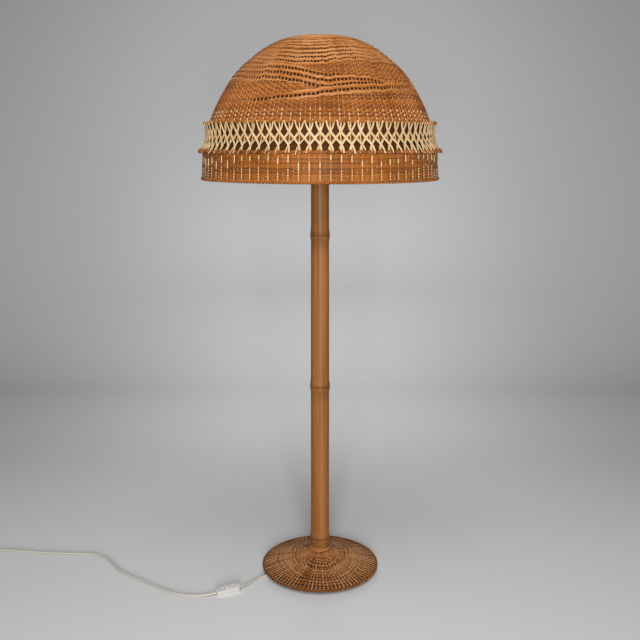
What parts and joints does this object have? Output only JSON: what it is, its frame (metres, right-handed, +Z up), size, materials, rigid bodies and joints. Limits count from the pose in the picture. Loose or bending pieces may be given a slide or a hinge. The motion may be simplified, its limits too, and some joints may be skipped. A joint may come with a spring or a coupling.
{
  "type": "rattan floor lamp",
  "caption": "Floor lamp with a woven dome shade, an open cane trellis band, a bamboo pole, a weighted woven foot and a cord with an inline switch.",
  "frame": {"origin": "on the floor under the middle of the pole, level with the felt's underside", "axes": "+Z up along the pole; the picture looks along +Y, and the cord leaves the foot towards -X"},
  "size_m": [1.3138, 0.597, 1.3992],
  "materials": {
    "felt": "dark grey felt, matt",
    "cast_weight": "black painted casting, matt",
    "rattan": "brown woven rattan core, satin",
    "cane": "pale peeled cane, satin",
    "bamboo": "tan bamboo culm, lightly varnished",
    "timber": "turned hardwood, oiled",
    "steel": "plain steel, satin",
    "black_holder": "black thermoset, satin",
    "porcelain": "white glazed insulator",
    "brass": "brass, lightly polished",
    "opal_glass": "opal glass, satin",
    "cord_sheath": "cream round sheath, satin",
    "white_plastic": "white moulded plastic, satin"
  },
  "bodies": {
    "stand": {"base_felt": "felt", "base_weight": "cast_weight", "base_cover": "rattan", "base_border": "rattan", "rod_bottom_washer": "steel", "rod_bottom_nut": "steel", "bamboo_pole": "bamboo", "pole_top_plug": "timber", "centre_rod": "steel", "holder_cap": "black_holder", "rod_top_nut": "steel", "holder_body": "black_holder", "holder_insert": "porcelain", "holder_screw_shell": "brass", "holder_contact": "brass", "shade_ring_lower": "black_holder", "shade_ring_upper": "black_holder", "cord_gland": "black_holder", "inner_lead": "cord_sheath", "cord_near": "cord_sheath", "cord_far": "cord_sheath", "cord_coil": "cord_sheath", "cord_tail": "cord_sheath", "cord_tie": "white_plastic", "switch_base": "white_plastic", "switch_cover": "white_plastic", "switch_screw_near": "steel", "switch_screw_far": "steel", "plug_body": "white_plastic", "plug_pin_left": "brass", "plug_pin_right": "brass"},
    "shade": {"frame_hub": "steel", "frame_hoop_dome": "steel", "frame_hoop_skirt": "steel", "frame_hoop_rim": "steel", "frame_arm_right": "steel", "frame_strut_right": "steel", "frame_arm_left": "steel", "frame_strut_left": "steel", "frame_arm_front": "steel", "frame_strut_front": "steel", "dome_weave": "rattan", "upper_border_canes": "cane", "lower_border_canes": "cane", "trellis_stakes": "cane", "trellis_weaver": "rattan", "skirt_weave": "rattan", "rim_border": "rattan"},
    "bulb_contact": {"bulb_tip": "black_holder"},
    "bulb": {"bulb_cap": "brass", "bulb_glass": "opal_glass"},
    "rocker": {"switch_rocker": "white_plastic"}
  },
  "joints": [
    {"name": "shade_turn", "type": "hinge", "parent": "stand", "child": "shade", "pos_m": [0, 0, 1.166], "axis": [0, 0, 1], "continuous": true},
    {"name": "bulb_lift", "type": "slide", "parent": "stand", "child": "bulb_contact", "axis": [0, 0, 1], "range_m": [0, 0.0182]},
    {"name": "bulb_turn", "type": "hinge", "parent": "bulb_contact", "child": "bulb", "pos_m": [0, 0, 1.18], "axis": [0, 0, 1], "range_deg": [0, 1800]},
    {"name": "rocker_tilt", "type": "hinge", "parent": "stand", "child": "rocker", "pos_m": [-0.2395, -0.139, 0.0112], "axis": [0.4617, -0.887, 0], "range_deg": [0, 12]}
  ],
  "couplings": [
    {"joint": "bulb_lift", "follows": "bulb_turn", "m_per_rad": 0.00057773}
  ]
}
